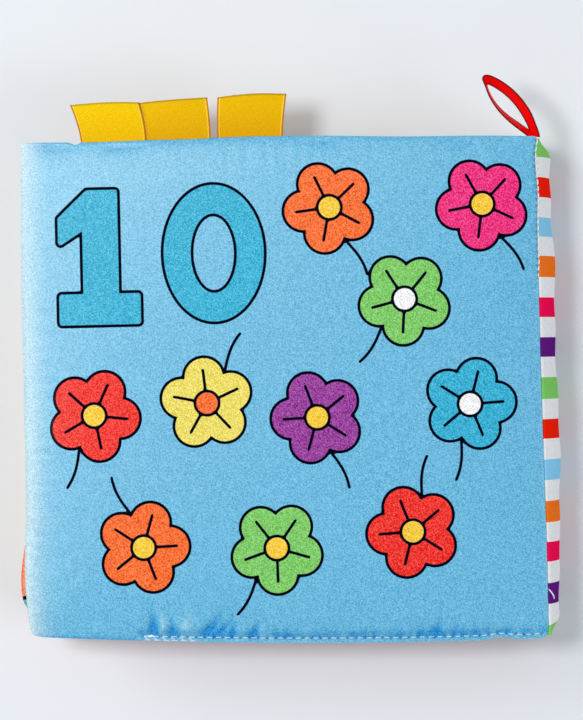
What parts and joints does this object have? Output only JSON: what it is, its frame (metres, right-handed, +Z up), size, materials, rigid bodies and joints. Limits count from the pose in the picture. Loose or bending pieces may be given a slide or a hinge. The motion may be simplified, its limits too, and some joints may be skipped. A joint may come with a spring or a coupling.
{
  "type": "cloth book",
  "caption": "Soft padded cloth book with a striped cloth spine, ribbon tabs in its top seam and a ribbon loop at the top of its spine; its leaves and cover open on hinges at the spine.",
  "frame": {"origin": "centre of the flat patch under the front cover, on the table that the closed book lies on", "axes": "+Z up through the closed book from the front cover to the back cover, +X towards the spine, +Y towards the top of the pages, where the tabs and the loop are"},
  "size_m": [0.1627, 0.1693, 0.034],
  "materials": {
    "cover_satin": "fine-grained sky-blue polyester satin, printed on its outside",
    "page_satin": "printed polyester satin in bright page colours",
    "wadding": "white polyester wadding, inside the boards",
    "strip_satin": "white satin printed with colour blocks",
    "thread": "white sewing thread",
    "yellow_ribbon": "golden yellow satin ribbon, 20 mm wide, woven edges",
    "red_ribbon": "red narrow satin ribbon"
  },
  "bodies": {
    "front_cover": {"front_cover_outside_cloth": "cover_satin", "front_cover_wadding": "wadding", "front_cover_inside_cloth": "page_satin", "front_cover_closing_stitch": "thread", "front_cover_spine_stitch": "thread", "spine_strip": "strip_satin"},
    "leaf_1": {"leaf_1_front_cloth": "page_satin", "leaf_1_wadding": "wadding", "leaf_1_back_cloth": "page_satin", "leaf_1_closing_stitch": "thread", "leaf_1_spine_stitch": "thread"},
    "leaf_2": {"leaf_2_front_cloth": "page_satin", "leaf_2_wadding": "wadding", "leaf_2_back_cloth": "page_satin", "leaf_2_closing_stitch": "thread", "leaf_2_spine_stitch": "thread"},
    "leaf_3": {"leaf_3_front_cloth": "page_satin", "leaf_3_wadding": "wadding", "leaf_3_back_cloth": "page_satin", "leaf_3_closing_stitch": "thread", "leaf_3_spine_stitch": "thread"},
    "leaf_4": {"leaf_4_front_cloth": "page_satin", "leaf_4_wadding": "wadding", "leaf_4_back_cloth": "page_satin", "leaf_4_closing_stitch": "thread", "leaf_4_spine_stitch": "thread"},
    "back_cover": {"back_cover_inside_cloth": "page_satin", "back_cover_wadding": "wadding", "back_cover_outside_cloth": "cover_satin", "back_cover_closing_stitch": "thread", "back_cover_spine_stitch": "thread", "tab_left": "yellow_ribbon", "tab_middle": "yellow_ribbon", "tab_right": "yellow_ribbon", "hang_loop": "red_ribbon"}
  },
  "joints": [
    {"name": "leaf_1_hinge", "type": "hinge", "parent": "front_cover", "child": "leaf_1", "pos_m": [0.08176, 0, 0.00615], "axis": [0, 1, 0], "range_deg": [0, 35], "deforming": ["spine_strip"]},
    {"name": "leaf_2_hinge", "type": "hinge", "parent": "leaf_1", "child": "leaf_2", "pos_m": [0.08389, 0, 0.01145], "axis": [0, 1, 0], "range_deg": [0, 35], "deforming": ["spine_strip"]},
    {"name": "leaf_3_hinge", "type": "hinge", "parent": "leaf_2", "child": "leaf_3", "pos_m": [0.08435, 0, 0.01675], "axis": [0, 1, 0], "range_deg": [0, 35], "deforming": ["spine_strip"]},
    {"name": "leaf_4_hinge", "type": "hinge", "parent": "leaf_3", "child": "leaf_4", "pos_m": [0.08389, 0, 0.02205], "axis": [0, 1, 0], "range_deg": [0, 35], "deforming": ["spine_strip"]},
    {"name": "back_cover_hinge", "type": "hinge", "parent": "leaf_4", "child": "back_cover", "pos_m": [0.08176, 0, 0.02735], "axis": [0, 1, 0], "range_deg": [0, 40], "deforming": ["spine_strip"]}
  ]
}
